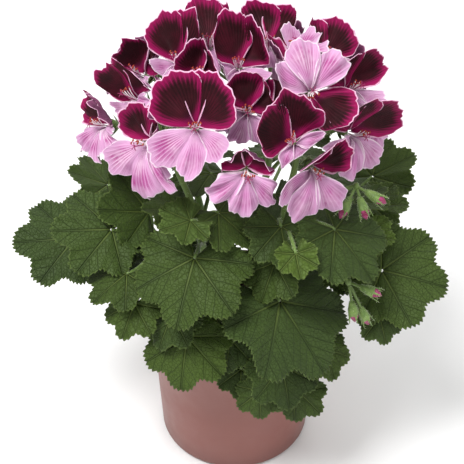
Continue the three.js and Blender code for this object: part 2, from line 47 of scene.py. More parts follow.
# Pot and soil, as in the solids
POT_HEIGHT, POT_BASE_R, POT_TOP_R, POT_WALL = 105, 51, 56, 1.4
RIM_R, RIM_HEIGHT, HEEL_R = 59.5, 9, 3
FOOT_HEIGHT, FOOT_WIDTH, FOOT_NOTCHES, NOTCH_WIDTH = 2, 7, 4, 20
CENTRE_PAD_R, DRAIN_HOLES, DRAIN_R, DRAIN_RING_R = 12, 6, 4, 30
SOIL_TOP, SOIL_R = 93, 53
POT_COLUMNS = 192
CRUMBS, CRUMB_SIZES = 1500, (0.8, 2.4)

# Leaves: angles in degrees from the tip, the shares are of a leaf's width
LEAF_HALF_ANGLE = 150
LEAF_BACK, LEAF_GROWTH, LEAF_FULLNESS = 0.286, 0.319, 1.1
LOBE_SPACING, LOBE_DEPTH, LOBE_DEPTH_SPREAD = 50, 0.14, 0.06
PLEAT_HEIGHT, WAVE_HEIGHT, WAVES = 0.022, 0.03, 3
FRILL_HEIGHT, FRILLS = 0.014, 17
LEAF_THICKNESS = 0.5
PALE_VEIN_REACH = 30, 4  # mm from the petiole where a vein has lost its pale colour, and has it all
TEETH_PER_LOBE = 0.17  # teeth between two lobes' tips for each mm of a leaf's width
TOOTH_LENGTH = (0.5, 0.02)  # mm, and per mm of a leaf's width
YOUNG_WIDTH, YOUNG_HEIGHT = 34, 180  # a leaf up to this wide and over this high is young and lighter
LEAF_SHARES = np.array([0.03, 0.14, 0.27, 0.4, 0.53, 0.65, 0.76, 0.85, 0.92, 0.96, 1.0])

# Stems and stalks
STEM_R, STEM_TAPER, STEM_DEPTH, CORKY_HEIGHT = 3.2, 0.25, 15, 30
PETIOLE_R, PETIOLE_TAPER = 1.3, (1.15, 0.85)
PETIOLE_RISE, LOWEST_PETIOLE, PETIOLE_BEND, PETIOLE_SAG = 20, SOIL_TOP + 12, 0.3, 0.14
RIM_CLEARANCE = 17
PEDUNCLE_R, PEDICEL_R, HUB_R, BUD_STALK_R = 2, 1, 4, 1.4
CALYX_LENGTH, CALYX_GAP, SEPALS, SEPAL_REACH = 7, 0.7, 5, 6.5
SEPAL_HALF_WIDTH, SEPAL_THICKNESS, SEPAL_CUP = 1.9, 0.35, 0.25
BUD_LENGTH, BUD_R, BUD_SIDES, BUD_FLUTES = 16, 3.2, 20, 0.07
HAIR_LENGTH, HAIR_R, HAIRS_PER_MM, HAIR_STRAY = 1.5, 0.07, 2.2, 0.35

# Turned profiles: rows of radius and height along the axis
HUB_PROFILE = [(0, -HUB_R), (2.2, -2.6), (3.1, 0), (2.2, 2.2), (0, HUB_R)]
BUD_HUB_PROFILE = [(0, -2.8), (1.6, -1.6), (2.1, 0), (1.6, 1.6), (0, 2.8)]
CALYX_PROFILE = [(0, -7), (0.9, -6.4), (1.5, -4), (2.4, -1.6), (2.6, -0.4), (0, -0.1)]

# Blooms
UPPER_PETALS = dict(
    middle=0, count=2, step=66, half=56, length=36, rise=54, flare=128, foot=1.2, forward=0
)
LOWER_PETALS = dict(
    middle=180, count=3, step=54, half=33, length=35, rise=36, flare=146, foot=-1.2, forward=2.3
)
THROAT_DEPTH = 7
PETAL_SHOULDER = 0.42
PETAL_SHORTEST, PETAL_LENGTH_SPREAD, PETAL_OPENING = 0.92, 0.14, 4
PETAL_RUFFLE, PETAL_RUFFLES, PETAL_ROLL = 4, 7, 9
CELL_CENTRE, CELL_SLOPE, CELL_GAP, CELL_SOFTNESS, CELL_RISE = 12, 1.6, 1.2, 5.5, 0.5
PETAL_THICKNESS = 0.35
FRILL_ONSET = 2.2  # a higher number keeps the frill nearer to the margin
PETAL_STEP = 0.8  # mm between two petals of a bloom where one lies over the next
FRILL, FRILL_WAVES, FINE_FRILL = 2.7, (13, 31), 0.35  # mm up and down, waves a turn, share of the finer
NIBBLE, NIBBLES, FINE_NIBBLE = 0.03, (15, 37), 0.6  # the outline's wander as a share of its length
PETAL_COLUMNS = 40
PETAL_SHARES = np.array([0.06, *np.linspace(0.14, 0.9, 13), 0.94, 0.97, 1])
FILAMENTS, FILAMENT_LENGTH, FILAMENT_R = 7, 14, 0.28
FILAMENT_FOOT, FILAMENT_FAN = 1.5, (1.5, 4, 8)  # mm above the throat, and sideways at three heights
ANTHER_LENGTH, ANTHER_R = 2, 0.5
STYLE_R, STYLE_BRANCHES, BRANCH_R = 0.35, 5, 0.25

# Materials: sizes in mm unless a comment says otherwise
LEAF_CLOUDS, LEAF_GRAIN, VEIN_FORKS, VEIN_WEB, LEAF_RELIEF = 14, 1.6, 4.0, 2.2, 1.5
# PALE_RIM is the pale margin; the second pair is painted shade in the vein creases, none 2.6 mm off a main
# vein and full at 0.2 mm
PALE_RIM, CREASE_SHADE_REACH = (1.3, 0.2), (2.6, 0.2)
STREAK_STEP = 2.6  # degrees round the throat from one coarse streak to the middle of the next gap
BRIGHT_RING, PALE_EDGE, PETAL_RELIEF = (7.2, 2.0), (0.9, 0.35), 0.3
POT_CLOUDS, POT_GRAIN, POT_GRAIN_DEPTH, DARKENING_HEIGHT = 26, 0.7, 0.05, 20

# Camera and studio, in metres and degrees
CAMERA_PLACE, CAMERA_TILT, FIELD_OF_VIEW, SENSOR_MM = (-0.00187, -0.6417, 0.7085), 50, 20, 36
FLOOR_HALF_WIDTH, FLOOR_LEVEL, SKY_STRENGTH = 3.0, -0.0004, 0.56
LAMPS = [  # name, place, width, watts, and the point it faces
    ("key", (-0.5, -0.45, 1.5), 0.6, 24, (0, 0, 0.15)),
    ("fill", (1.1, -0.6, 0.9), 1.0, 4, (0, 0, 0.15)),
    ("back", (0.2, 1.2, 1.1), 1.0, 8, (0, 0, 0.2)),
]

# Each stem: where it stands in the soil, and its top
STEMS = {
    "front": ((2, -18), (6, -42, 158)),
    "front_right": ((16, -8), (30, -22, 200)),
    "right": ((25, 5), (58, 4, 160)),
    "back_right": ((10, 18), (22, 40, 198)),
    "back_left": ((-12, 20), (-26, 44, 172)),
    "left": ((-24, 3), (-54, 4, 168)),
    "front_left": ((-13, -10), (-24, -26, 202)),
}

# Each leaf: its stem, where its petiole meets the blade, the heading and pitch of its tip, the roll
# of the blade about its midrib, its width, and its cup (positive turns the margin up)
LEAVES = [
    ("left", (-103, 6, 160), -84, 0, -22, 66, -0.02),
    ("left", (-76, -18, 187), -80, 8, -25, 62, -0.03),
    ("left", (-54, -2, 188), -120, 44, -10, 62, 0.03),
    ("left", (-84, 46, 172), -80, 30, -10, 48, 0),
    ("left", (-66, -42, 172), -52, -15, 0, 46, -0.05),
    ("left", (-61, -56, 160), -28, -38, 0, 38, -0.06),
    ("left", (-66, 28, 134), -104, -35, 0, 44, -0.06),
    ("left", (-46, -24, 166), -60, -5, 0, 44, -0.04),
    ("front_left", (-38, -60, 156), -34, -45, 0, 40, -0.06),
    ("front_left", (-26, -48, 219), -60, 0, -15, 34, 0.06),
    ("front_left", (-24, -55, 196), -20, -36, 0, 71, -0.06),
    ("front_left", (-10, -36, 215), 55, -20, 0, 46, -0.04),
    ("front", (-29, -66, 142), -14, -48, 0, 56, -0.08),
    ("front", (27, -58, 164), 48, -38, 0, 86, -0.05),
    ("front", (29, -68, 119), 20, -50, 0, 48, -0.06),
    ("front", (4, -63, 110), -6, -45, 0, 32, -0.06),
    ("front", (16, -74, 102), 0, -60, 0, 32, -0.08),
    ("front", (24, -50, 188), -30, -42, 0, 42, -0.03),
    ("front_right", (39, -70, 99), -12, -62, 0, 38, -0.08),
    ("front_right", (55, -58, 124), 35, -45, 0, 36, -0.06),
    ("front_right", (59, -43, 208), 48, -28, 0, 62, -0.05),
    ("front_right", (27, -45, 212), 12, -35, 0, 45, -0.05),
    ("front_right", (35, -67, 210), 12, -36, 0, 26, 0.08),
    ("right", (91, -30, 164), 78, -6, 30, 70, -0.04),
    ("right", (90, 42, 182), 105, 24, 15, 52, 0.03),
    ("right", (88, 14, 180), 84, 10, 20, 38, -0.02),
    ("right", (80, -20, 186), 70, 0, 20, 32, 0),
    ("right", (90, -48, 142), 20, -45, 0, 30, -0.06),
    ("back_left", (-30, 76, 176), -168, -15, 0, 60, -0.04),
    ("back_left", (-60, 60, 150), -138, -20, 0, 56, -0.04),
    ("back_left", (-40, 50, 204), -150, 18, 0, 44, 0.03),
    ("back_left", (-32, 72, 122), -160, -45, 0, 42, -0.06),
    ("back_right", (34, 78, 172), 166, -15, 0, 60, -0.04),
    ("back_right", (66, 66, 160), 134, -15, 0, 56, -0.04),
    ("back_right", (44, 60, 204), 150, 18, 0, 42, 0.03),
    ("back_right", (34, 72, 122), 160, -45, 0, 44, -0.06),
    ("back_right", (78, 42, 126), 108, -35, 0, 42, -0.06),
    ("back_right", (2, 84, 146), 178, -35, 0, 44, -0.05),
    ("front_left", (-34, -10, 196), -80, 10, 0, 40, 0),
    ("front_left", (-15, 14, 206), -20, 6, 0, 46, 0),
    ("front_left", (-21, 0, 158), -6, -5, 0, 38, 0),
    ("back_left", (-48, 26, 178), -24, 4, 0, 36, 0),
    ("back_left", (-8, 42, 186), -8, 2, 0, 46, 0),
    ("front_right", (16, -12, 184), 10, 0, 0, 34, 0),
    ("right", (56, 13, 186), 5, 4, 0, 46, 0),
    ("right", (66, -8, 156), 8, -18, 0, 44, -0.03),
    ("front", (-3, -56, 130), -12, -48, 0, 36, -0.05),
    ("front_right", (25, 9, 193), 16, 6, 0, 50, 0),
    ("right", (74, 0, 196), 60, 14, 0, 40, 0),
]

# The hub of each flower head, by the stem that carries it
HEADS = {
    "front_left": (-38, -2, 238),
    "front_right": (37, -6, 238),
    "back_right": (18, 44, 246),
}

# Each bloom: its head, its throat, the heading and elevation it faces, and the roll of its upper
# petals to the right as it is faced, its layer (a bloom spreads over those of a lower layer), and
# the sizes of its upper and of its lower petals as shares of a full one
BLOOMS = [
    ("front_left", (-22, -32, 274), -4, 32, 0, 1, 1, 0.88),
    ("front_left", (-47, -27, 261), -44, 14, -10, 0.6, 0.76, 1),
    ("front_left", (-75, 3, 251), -54, 24, -30, 0.2, 0.8, 0.7),
    ("front_left", (-56, 8, 265), -61, 36, -52, 0.41, 0.94, 0.63),
    ("front_left", (-32, 26, 278), -30, 50, -10, 0.6, 0.95, 0.56),
    ("front_left", (-20, 2, 285), -10, 46, 0, 0.4, 0.76, 0.65),
    ("back_right", (2, 18, 281), -3, 49, 7, 0.62, 0.98, 0.78),
    ("front_right", (7, -23, 279), -2, 31, 17, 0.46, 0.78, 0.73),
    ("front_right", (33, -37, 267), -4, 40, -37, 0.94, 1.03, 0.63),
    ("front_right", (43, -43, 255), 16, 12, 26, 1, 0.7, 0.88),
    ("front_right", (43, -9, 282), 6, 41, 169, 0.82, 0.9, 0.88),
    ("front_right", (66, -6, 252), 45, 14, 31, 0.59, 1, 0.8),
    ("front_right", (65, 15, 267), 50, 37, 30, 0.36, 0.99, 0.66),
    ("back_right", (21, 48, 275), -8, 58, 0, 0.4, 0.95, 0.68),
    ("back_right", (34, 25, 280), 154, 68, 11, 0.67, 0.71, 0.7),
    ("back_right", (53, 46, 269), 30, 50, 20, 0.4, 0.8, 0.8),
    ("front_right", (6, -49, 258), 4, 11, 8, 0.55, 0.72, 0.76),
    ("front_left", (-50, 48, 262), -125, 35, 0, 0.5, 1, 0.95),
    ("back_right", (-18, 64, 266), -156, 39, -3, 0.2, 1, 0.9),
    ("back_right", (24, 72, 254), 168, 32, 0, 0.6, 1, 0.95),
    ("back_right", (61, 70, 252), 148, 28, 4, 0.43, 0.86, 0.82),
    ("front_left", (-54, 29, 269), -46, 38, -15, 0.18, 0.95, 0.57),
    ("front_right", (71, 16, 247), 75, 30, 30, 0.1, 0.9, 0.8),
    ("front_right", (20, -3, 264), 33, 51, 8, 0, 0.91, 0.6),
    ("back_right", (-15, 42, 279), -20, 60, 0, 0.3, 0.9, 0.7),
]

# Closed buds: the stem, the hub they hang from and the tip of each bud
BUDS = [
    ("front_right", (72, -24, 226), [(62, -38, 212), (78, -40, 213), (90, -32, 219)]),
    ("front_right", (68, -56, 178), [(88, -62, 172), (73, -64, 152), (82, -60, 146)]),
]


def draws(seed):
    """A seeded draw of numbers from 0 to 1, the same row as the solids' own."""
    state = seed
    while True:
        state = (state * 1664525 + 1013904223) % 2**32
        yield state / 2**32


def unit(v):
    """v at length 1, along its last axis."""
    return v / np.maximum(np.linalg.norm(v, axis=-1, keepdims=True), 1e-12)


def direction(heading, elevation):
    """The unit vector at a heading round the pot and an elevation, both in degrees."""
    a, e = np.radians(heading), np.radians(elevation)
    return np.array([np.sin(a) * np.cos(e), -np.cos(a) * np.cos(e), np.sin(e)])


def turned_about(v, axis, degrees):
    """v turned about a unit axis: v cos t + (axis x v) sin t, for a v square to the axis."""
    t = np.radians(degrees)
    return v * np.cos(t) + np.cross(axis, v) * np.sin(t)


# Bodies. A body is its points in mm, its quads and triangles, one material number for each face,
# and two rows of three numbers for each point that the materials read.


def body(points, quads, tris, spread=None, tone=None, quad_finish=0, tri_finish=0):
    """The arrays of one body, with nought where a row isn't given."""
    points = np.asarray(points, float)
    return dict(
        points=points,
        quads=np.asarray(quads, int).reshape(-1, 4),
        tris=np.asarray(tris, int).reshape(-1, 3),
        spread=np.zeros_like(points) if spread is None else spread,
        tone=np.zeros_like(points) + (0 if tone is None else tone),
        quad_finish=np.zeros(len(quads), int) + quad_finish,
        tri_finish=np.zeros(len(tris), int) + tri_finish,
    )


def blade(grid, thickness, spread, tone):
    """A thin closed body from a surface grid (rows outwards, columns across): each point moves half
    the thickness along the normal, which is the cross product of the grid's two directions, and
    a band of faces joins the two sides all round."""
    rows, columns = grid.shape[:2]
    normal = unit(np.cross(np.gradient(grid, axis=1), np.gradient(grid, axis=0)))
    both = [grid + normal * thickness / 2, grid - normal * thickness / 2]
    points = np.concatenate([side.reshape(-1, 3) for side in both])
    at = np.arange(rows * columns).reshape(rows, columns)
    top = np.stack([at[:-1, :-1], at[:-1, 1:], at[1:, 1:], at[1:, :-1]], -1).reshape(-1, 4)
    under = top[:, ::-1] + rows * columns
    loop = np.concatenate([at[0, :-1], at[:-1, -1], at[-1, :0:-1], at[:0:-1, 0]])
    onward = np.roll(loop, -1)
    edge = np.stack([loop, loop + rows * columns, onward + rows * columns, onward], -1)
    quads = np.concatenate([top, under, edge])
    finish = np.repeat([0, 1, 0], [len(top), len(under), len(edge)])
    spread = np.tile(spread.reshape(-1, 3), (2, 1))
    return body(points, quads, [], spread, tone, finish)


def shell(rings, start, end, tone=None, finish=0):
    """A closed body round a row of rings of points, with a fan of triangles to a point at each end."""
    count, sides = rings.shape[:2]
    at = np.arange(count * sides).reshape(count, sides)
    onward = np.roll(at, -1, axis=1)
    quads = np.stack([at[:-1], onward[:-1], onward[1:], at[1:]], -1).reshape(-1, 4)
    first, last = count * sides, count * sides + 1
    low = np.stack([onward[0], at[0], np.full(sides, first)], -1)
    high = np.stack([at[-1], onward[-1], np.full(sides, last)], -1)
    points = np.concatenate([rings.reshape(-1, 3), [start, end]])
    return body(points, quads, np.concatenate([low, high]), None, tone, finish, finish)


def across_of(axis):
    """Two unit vectors square to an axis and to each other, so that first x second is the axis."""
    side = np.eye(3)[np.argmin(np.abs(axis))]
    first = unit(np.cross(side, axis))
    return first, np.cross(axis, first)


def tube(path, radius, sides, tone=None, finish=0):
    """A round stalk: at each point of the path a ring of one radius, square to the path."""
    path = np.asarray(path, float)
    tangent = unit(np.gradient(path, axis=0))
    side, _ = across_of(unit(path[-1] - path[0]))
    first = unit(side - tangent * (tangent @ side)[:, None])
    second = np.cross(tangent, first)
    turn = np.arange(sides) * 2 * np.pi / sides
    radius = np.zeros(len(path)) + radius
    ring = first[:, None] * np.cos(turn)[:, None] + second[:, None] * np.sin(turn)[:, None]
    return shell(path[:, None] + ring * radius[:, None, None], path[0], path[-1], tone, finish)


def turned(profile, place, axis, sides, tone=None, finish=0, flutes=0.0):
    """A turned body: rows of radius and height along an axis, and flutes that swell the radius
    by (1 + flutes cos 5a). The first and last rows have radius 0."""
    first, second = across_of(axis)
    profile = np.asarray(profile, float)
    turn = np.arange(sides) * 2 * np.pi / sides
    ring = first * np.cos(turn)[:, None] + second * np.sin(turn)[:, None]
    swell = 1 + flutes * np.cos(SEPALS * turn)
    inner = profile[1:-1]
    rings = place + axis * inner[:, 1, None, None] + ring * (inner[:, 0, None] * swell)[..., None]
    ends = [place + axis * profile[i, 1] for i in (0, -1)]
    return shell(rings, ends[0], ends[1], tone, finish)


def bezier(points, count):
    """count points along a Bezier curve of 3 or 4 points."""
    t = np.linspace(0, 1, count)[:, None]
    points = [np.asarray(p, float) for p in points]
    while len(points) > 1:
        points = [a * (1 - t) + b * t for a, b in zip(points, points[1:])]
    return points[0]


def piece(name, bodies, finishes, slot, *nodes):
    """One object from several bodies, with its materials, that stands for CAD nodes."""
    offsets = np.cumsum([0] + [len(b["points"]) for b in bodies[:-1]])
    points = np.concatenate([b["points"] for b in bodies]) * MM
    quads = np.concatenate([b["quads"] + o for b, o in zip(bodies, offsets)])
    tris = np.concatenate([b["tris"] + o for b, o in zip(bodies, offsets)])
    finish = np.concatenate([b["quad_finish"] for b in bodies] + [b["tri_finish"] for b in bodies])
    mesh = bpy.data.meshes.new(name)
    mesh.vertices.add(len(points))
    mesh.vertices.foreach_set("co", points.ravel())
    corners = np.concatenate([quads.ravel(), tris.ravel()])
    mesh.loops.add(len(corners))
    mesh.loops.foreach_set("vertex_index", corners)
    starts = np.concatenate([np.arange(len(quads)) * 4, len(quads) * 4 + np.arange(len(tris)) * 3])
    mesh.polygons.add(len(starts))
    mesh.polygons.foreach_set("loop_start", starts)
    mesh.polygons.foreach_set("material_index", finish)
    mesh.update(calc_edges=True)
    mesh.shade_smooth()
    for key in ("spread", "tone"):
        rows = np.concatenate([b[key] for b in bodies])
        mesh.attributes.new(key, "FLOAT_VECTOR", "POINT").data.foreach_set("vector", rows.ravel())
    for material in finishes:
        mesh.materials.append(material)
    made = bpy.data.objects.new(name, mesh)
    bpy.context.collection.objects.link(made)
    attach(made, "root")
    if nodes:
        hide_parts(*nodes)
    return made


# Materials


def linear(hexed):
    """An sRGB hex colour as linear RGBA."""
    value = np.array([int(hexed[i : i + 2], 16) for i in (1, 3, 5)]) / 255
    low = value <= 0.04045
    return (*np.where(low, value / 12.92, ((value + 0.055) / 1.055) ** 2.4), 1.0)


def add(tree, kind, settings=None, **inputs):
    """Adds a node. settings are its properties; inputs are values or sockets, by the input's name
    or as i0, i1 by its number."""
    made = tree.nodes.new("ShaderNode" + kind)
    for key, value in (settings or {}).items():
        setattr(made, key, value)
    for key, value in inputs.items():
        socket = made.inputs[int(key[1:])] if key[1:].isdigit() else made.inputs[key.replace("_", " ")]
        if isinstance(value, bpy.types.NodeSocket):
            tree.links.new(value, socket)
        else:
            socket.default_value = value
    return made


def finish_of(name, roughness, **constants):
    """A new material: its tree, its Principled shader and the material itself."""
    material = bpy.data.materials.new(name)
    material.use_nodes = True
    tree = material.node_tree
    shader = tree.nodes["Principled BSDF"]
    shader.inputs["Roughness"].default_value = roughness
    for key, value in constants.items():
        shader.inputs[key.replace("_", " ")].default_value = value
    return tree, shader, material


def number(tree, operation, *values):
    """The output of a Math node."""
    inputs = {f"i{i}": v for i, v in enumerate(values)}
    return add(tree, "Math", dict(operation=operation), **inputs).outputs[0]


def fade(tree, value, start, end):
    """0 where value is at start, 1 at end, smooth between them."""
    mapped = add(tree, "MapRange", dict(interpolation_type="SMOOTHSTEP"), Value=value)
    mapped.inputs["From Min"].default_value, mapped.inputs["From Max"].default_value = start, end
    return mapped.outputs["Result"]


def blend(tree, share, first, second, mode="MIX"):
    """first and second mixed by a share: colours as sockets or hex."""
    first, second = (linear(c) if isinstance(c, str) else c for c in (first, second))
    settings = dict(data_type="RGBA", blend_type=mode)
    return add(tree, "Mix", settings, i0=share, i6=first, i7=second).outputs[2]


def read(tree, name):
    """The three numbers of a point attribute."""
    attribute = add(tree, "Attribute", dict(attribute_name=name))
    return add(tree, "SeparateXYZ", Vector=attribute.outputs["Vector"]).outputs


def mottle(tree, size_mm, detail=3.0):
    """Soft noise with spots of one size on Object coordinates, from 0 to 1."""
    place = add(tree, "TexCoord").outputs["Object"]
    noise = add(tree, "TexNoise", Vector=place, Scale=1 / (size_mm * MM), Detail=detail)
    return noise.outputs[0]


def relief(tree, shader, height, depth_mm):
    """A bump of one depth on the shader's normal."""
    bump = add(tree, "Bump", Height=height, Distance=depth_mm * MM, Strength=1.0)
    tree.links.new(bump.outputs[0], shader.inputs["Normal"])


def leaf_finish(name, dark, light, vein, painted_crease_shade, under, contrast):
    """Living pelargonium leaf: a thin, softly hairy skin, so broad dull highlights. Veins fan out from
    the petiole and fork every 8 mm. They are pale near the petiole, and further out they lie in creases,
    with painted shade darkening the blade along them and a relief that puffs it up between them. The
    underside is greyer."""
    tree, shader, material = finish_of(name, 0.6)
    shader.inputs["Specular IOR Level"].default_value = 0.22
    along, aside, margin = read(tree, "spread")
    age, mood, _ = read(tree, "tone")
    width = number(tree, "MULTIPLY_ADD", margin, 0.012, 0.28)
    main = fade(tree, number(tree, "SUBTRACT", aside, width), 0.35, -0.15)
    wander = number(tree, "MULTIPLY", mottle(tree, 6), 2.0)
    path = number(tree, "ADD", number(tree, "MULTIPLY_ADD", aside, -1.2, along), wander)
    fork = number(tree, "PINGPONG", path, VEIN_FORKS)
    branch = fade(tree, fork, 0.42, 0.1)
    place = add(tree, "TexCoord").outputs["Object"]
    edges = dict(feature="DISTANCE_TO_EDGE")
    web = add(tree, "TexVoronoi", edges, Vector=place, Scale=1 / (VEIN_WEB * MM))
    mesh = fade(tree, web.outputs["Distance"], 0.09, 0.0)
    veins = number(tree, "MAXIMUM", main, number(tree, "MULTIPLY", branch, 0.6))
    lines = number(tree, "MAXIMUM", veins, number(tree, "MULTIPLY", mesh, 0.22))
    # Painted shade: the blade is darkened along the main and branch veins, where the creases lie
    crease_shade_mask = number(tree, "MAXIMUM", fade(tree, aside, *CREASE_SHADE_REACH), number(tree, "MULTIPLY", branch, 0.7))
    ground = blend(tree, mottle(tree, LEAF_CLOUDS), dark, light)
    ground = blend(tree, number(tree, "MULTIPLY", age, 0.6), ground, "#586f28")
    ground = blend(tree, number(tree, "MULTIPLY", mood, 0.5), ground, under)
    rim = fade(tree, margin, *PALE_RIM)
    ground = blend(tree, number(tree, "MULTIPLY", rim, 0.3), ground, "#738645")
    ground = blend(tree, number(tree, "MULTIPLY", crease_shade_mask, contrast), ground, painted_crease_shade)
    pale = number(tree, "MULTIPLY", lines, fade(tree, along, *PALE_VEIN_REACH))
    colour = blend(tree, number(tree, "MULTIPLY", pale, contrast), ground, vein)
    tree.links.new(colour, shader.inputs["Base Color"])
    raised = number(tree, "SUBTRACT", 1.0, lines)
    relief(tree, shader, number(tree, "MULTIPLY_ADD", mottle(tree, LEAF_GRAIN), 0.35, raised), LEAF_RELIEF)
    return material


def petal_finish(name, ground, pale, ring, core, edge, streak, amount):
    """Living petal: a thin, matt skin like velvet. The colour runs from the throat out: core, ground
    with paler clouds, ring, then a narrow pale edge. Fine streaks fan out from the throat, about one
    for each 5 degrees, and fork half way."""
    tree, shader, material = finish_of(name, 0.66)
    shader.inputs["Specular IOR Level"].default_value = 0.15
    angle, out, margin = read(tree, "spread")
    cloud = mottle(tree, 5)
    stray = number(tree, "MULTIPLY_ADD", cloud, 2.2, -1.1)
    fan = number(tree, "ADD", angle, stray)
    coarse = fade(tree, number(tree, "PINGPONG", fan, STREAK_STEP), 0.9, 0.1)
    half = STREAK_STEP / 2
    fine = fade(tree, number(tree, "PINGPONG", number(tree, "ADD", fan, half), half), 0.5, 0.05)
    forked = number(tree, "MULTIPLY", fine, fade(tree, out, 0.42, 0.7))
    lines = number(tree, "MAXIMUM", coarse, forked)
    patch = fade(tree, mottle(tree, 9), 0.4, 0.68)
    colour = blend(tree, fade(tree, mottle(tree, 13), 0.35, 0.7), ground, pale)
    colour = blend(tree, fade(tree, out, 0.1, 0.34), core, colour)
    jagged = number(tree, "MULTIPLY_ADD", lines, 1.6, margin)
    colour = blend(tree, fade(tree, jagged, *BRIGHT_RING), colour, ring)
    weight = number(tree, "MULTIPLY", lines, number(tree, "MULTIPLY_ADD", patch, amount, amount * 0.35))
    colour = blend(tree, number(tree, "MULTIPLY", weight, fade(tree, margin, 1.2, 6.0)), colour, streak)
    uneven = number(tree, "MULTIPLY_ADD", cloud, 0.8, number(tree, "SUBTRACT", margin, 0.4))
    colour = blend(tree, fade(tree, uneven, *PALE_EDGE), colour, edge)
    tree.links.new(colour, shader.inputs["Base Color"])
    relief(tree, shader, number(tree, "MULTIPLY_ADD", lines, -0.5, cloud), PETAL_RELIEF)
    return material


def stalk_finish():
    """Pelargonium stalk: fresh green, slightly waxy, with a browner, corky foot on the old stems."""
    tree, shader, material = finish_of("fresh_green_stalk", 0.5, Sheen_Weight=0.15)
    old = read(tree, "tone")[1]
    colour = blend(tree, mottle(tree, 7), "#56702f", "#6f8842")
    colour = blend(tree, number(tree, "MULTIPLY", old, 0.7), colour, "#6b5a3a")
    tree.links.new(colour, shader.inputs["Base Color"])
    relief(tree, shader, mottle(tree, 1.2), 0.25)
    return material


def plain_finish(name, first, second, size_mm, roughness, depth_mm, **constants):
    """A grown or earthy skin: two close colours in soft spots of one size, and a low grain."""
    tree, shader, material = finish_of(name, roughness, **constants)
    spots = mottle(tree, size_mm, 5.0)
    tree.links.new(blend(tree, fade(tree, spots, 0.3, 0.7), first, second), shader.inputs["Base Color"])
    relief(tree, shader, spots, depth_mm)
    return material


def pot_finish():
    """Injection-moulded polypropylene in a brick rose: satin, even, with a faint grain of the mould,
    and darker towards the foot."""
    tree, shader, material = finish_of("brick_rose_polypropylene", 0.42)
    place = add(tree, "TexCoord").outputs["Object"]
    height = add(tree, "SeparateXYZ", Vector=place).outputs[2]
    colour = blend(tree, mottle(tree, POT_CLOUDS), "#7d4840", "#854f46")
    # The colour darkens towards the foot, over the lowest 20 mm
    foot_darkening = number(tree, "MULTIPLY", fade(tree, height, DARKENING_HEIGHT * MM, 0.0), 0.35)
    colour = blend(tree, foot_darkening, colour, "#623630")
    tree.links.new(colour, shader.inputs["Base Color"])
    tree.links.new(number(tree, "MULTIPLY_ADD", mottle(tree, 9), 0.2, 0.34), shader.inputs["Roughness"])
    relief(tree, shader, mottle(tree, POT_GRAIN, 2.0), POT_GRAIN_DEPTH)
    return material


# The fifth colour of each leaf finish is painted shade for the creases along the veins
LEAF_UPPER = leaf_finish(
    "pelargonium_leaf_upper", "#2a3912", "#42551c", "#6c7c38", "#1e2a0d", "#2f4022", 0.33
)
LEAF_UNDER = leaf_finish(
    "pelargonium_leaf_underside", "#5a6f4c", "#6a7f58", "#93a577", "#4c5f40", "#66785c", 0.5
)
WINE_UPPER = petal_finish(
    "wine_petal_face", "#2c0810", "#420b1b", "#8f0c4e", "#5e0f3c", "#e9b6d2", "#180508", 0.85
)
WINE_UNDER = petal_finish(
    "wine_petal_back", "#6f3c5b", "#7d4a68", "#86466c", "#a67c95", "#dcb4ca", "#421630", 0.5
)
PINK_UPPER = petal_finish(
    "pink_petal_face", "#be7eac", "#d6b0ca", "#cd9cc1", "#dccfd4", "#e6cfde", "#a32a7c", 0.95
)
PINK_UNDER = petal_finish(
    "pink_petal_back", "#b07aa2", "#c298b6", "#ba8aab", "#c8aec1", "#dac0d0", "#8a4878", 0.45
)
STALK = stalk_finish()
SEPAL = plain_finish("hairy_green_sepal", "#5c7836", "#7a964a", 3, 0.55, 0.2, Sheen_Weight=0.2)
HAIR = plain_finish("pale_plant_hair", "#c8d2a8", "#dfe6c8", 5, 0.5, 0.02)
FILAMENT = plain_finish("white_filament", "#efe3e6", "#f6f0ee", 2, 0.5, 0.02)
ANTHER = plain_finish("orange_red_anther", "#8c2818", "#a8452a", 1, 0.8, 0.1)
STYLE = plain_finish("purple_style", "#8c1f52", "#a53468", 2, 0.55, 0.05)
BUD_TIP = plain_finish("folded_wine_petal", "#7c1240", "#a83a72", 4, 0.6, 0.1, Sheen_Weight=0.2)
COMPOST = plain_finish("peat_compost", "#241912", "#4a3626", 2.5, 0.95, 1.2)
POT = pot_finish()


# Leaves and stalks


def blade_axes(heading, pitch, roll):
    """A blade's tip direction, its upward normal rolled about the tip, and tip x normal."""
    tip = direction(heading, pitch)
    normal = turned_about(unit(UP - tip * tip[2]), tip, roll)
    return tip, normal, np.cross(tip, normal)


